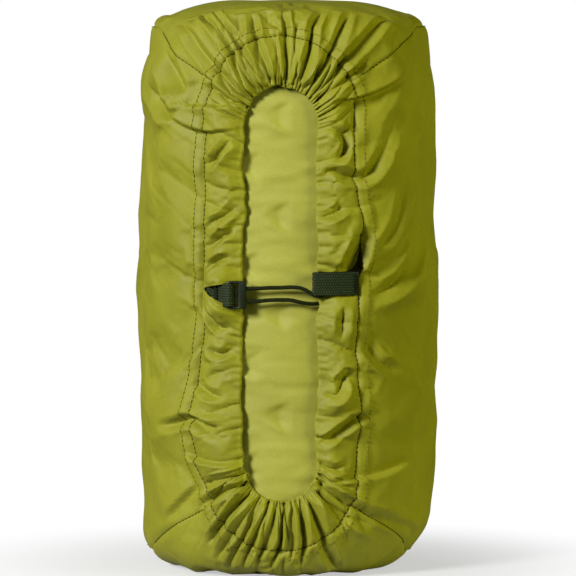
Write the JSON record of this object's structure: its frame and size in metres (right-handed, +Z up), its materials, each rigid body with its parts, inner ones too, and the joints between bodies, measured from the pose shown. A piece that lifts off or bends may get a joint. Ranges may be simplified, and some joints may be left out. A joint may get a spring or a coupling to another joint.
{
  "type": "stuff sack",
  "caption": "Cylindrical nylon stuff sack with a long elasticated mouth, webbing pull tab and cord anchor, filled with its rolled mat.",
  "frame": {"origin": "centre of the flat base that the filled sack stands on", "axes": "+Z up along the roll, -Y out of the mouth, +X towards the pull tab"},
  "size_m": [0.194, 0.1985, 0.365],
  "materials": {
    "shell_fabric": "satin",
    "mat_fabric": "satin",
    "webbing": "matte",
    "cord_cover": "matte",
    "moulded_plastic": "satin"
  },
  "bodies": {
    "root": {"wrap_panel": "shell_fabric", "top_end_panel": "shell_fabric", "bottom_end_panel": "shell_fabric", "collar_top": "shell_fabric", "collar_bottom": "shell_fabric", "elastic_top": "cord_cover", "elastic_bottom": "cord_cover", "cross_cord": "cord_cover"},
    "left_collar": {"collar_left_upper": "shell_fabric", "collar_left_lower": "shell_fabric", "elastic_left": "cord_cover"},
    "right_collar": {"collar_right_upper": "shell_fabric", "collar_right_lower": "shell_fabric", "elastic_right_upper": "cord_cover", "elastic_right_lower": "cord_cover", "cord_knot": "cord_cover"},
    "left_strap": {"webbing_strap_left": "webbing", "cord_anchor": "moulded_plastic", "bartack_left": "webbing"},
    "right_tab": {"webbing_tab_right": "webbing", "bartack_right": "webbing"},
    "mat": {"mat_roll": "mat_fabric"}
  },
  "joints": [
    {"name": "left_collar_fold", "type": "hinge", "parent": "root", "child": "left_collar", "pos_m": [-0.048, -0.0843, 0.1825], "axis": [0, 0, -1], "range_deg": [0, 70], "deforming": ["cross_cord"]},
    {"name": "right_collar_fold", "type": "hinge", "parent": "root", "child": "right_collar", "pos_m": [0.048, -0.0843, 0.1825], "axis": [0, 0, 1], "range_deg": [0, 70], "deforming": ["cross_cord"]},
    {"name": "left_strap_flip", "type": "hinge", "parent": "left_collar", "child": "left_strap", "pos_m": [-0.0486, -0.0865, 0.1825], "axis": [0, 0, -1], "range_deg": [0, 70], "deforming": ["cross_cord"]},
    {"name": "right_tab_flip", "type": "hinge", "parent": "right_collar", "child": "right_tab", "pos_m": [0.0488, -0.0868, 0.1895], "axis": [0, 0, 1], "range_deg": [0, 70]},
    {"name": "mat_turn", "type": "hinge", "parent": "root", "child": "mat", "pos_m": [0, 0, 0.1825], "axis": [0, 0, 1], "continuous": true}
  ]
}
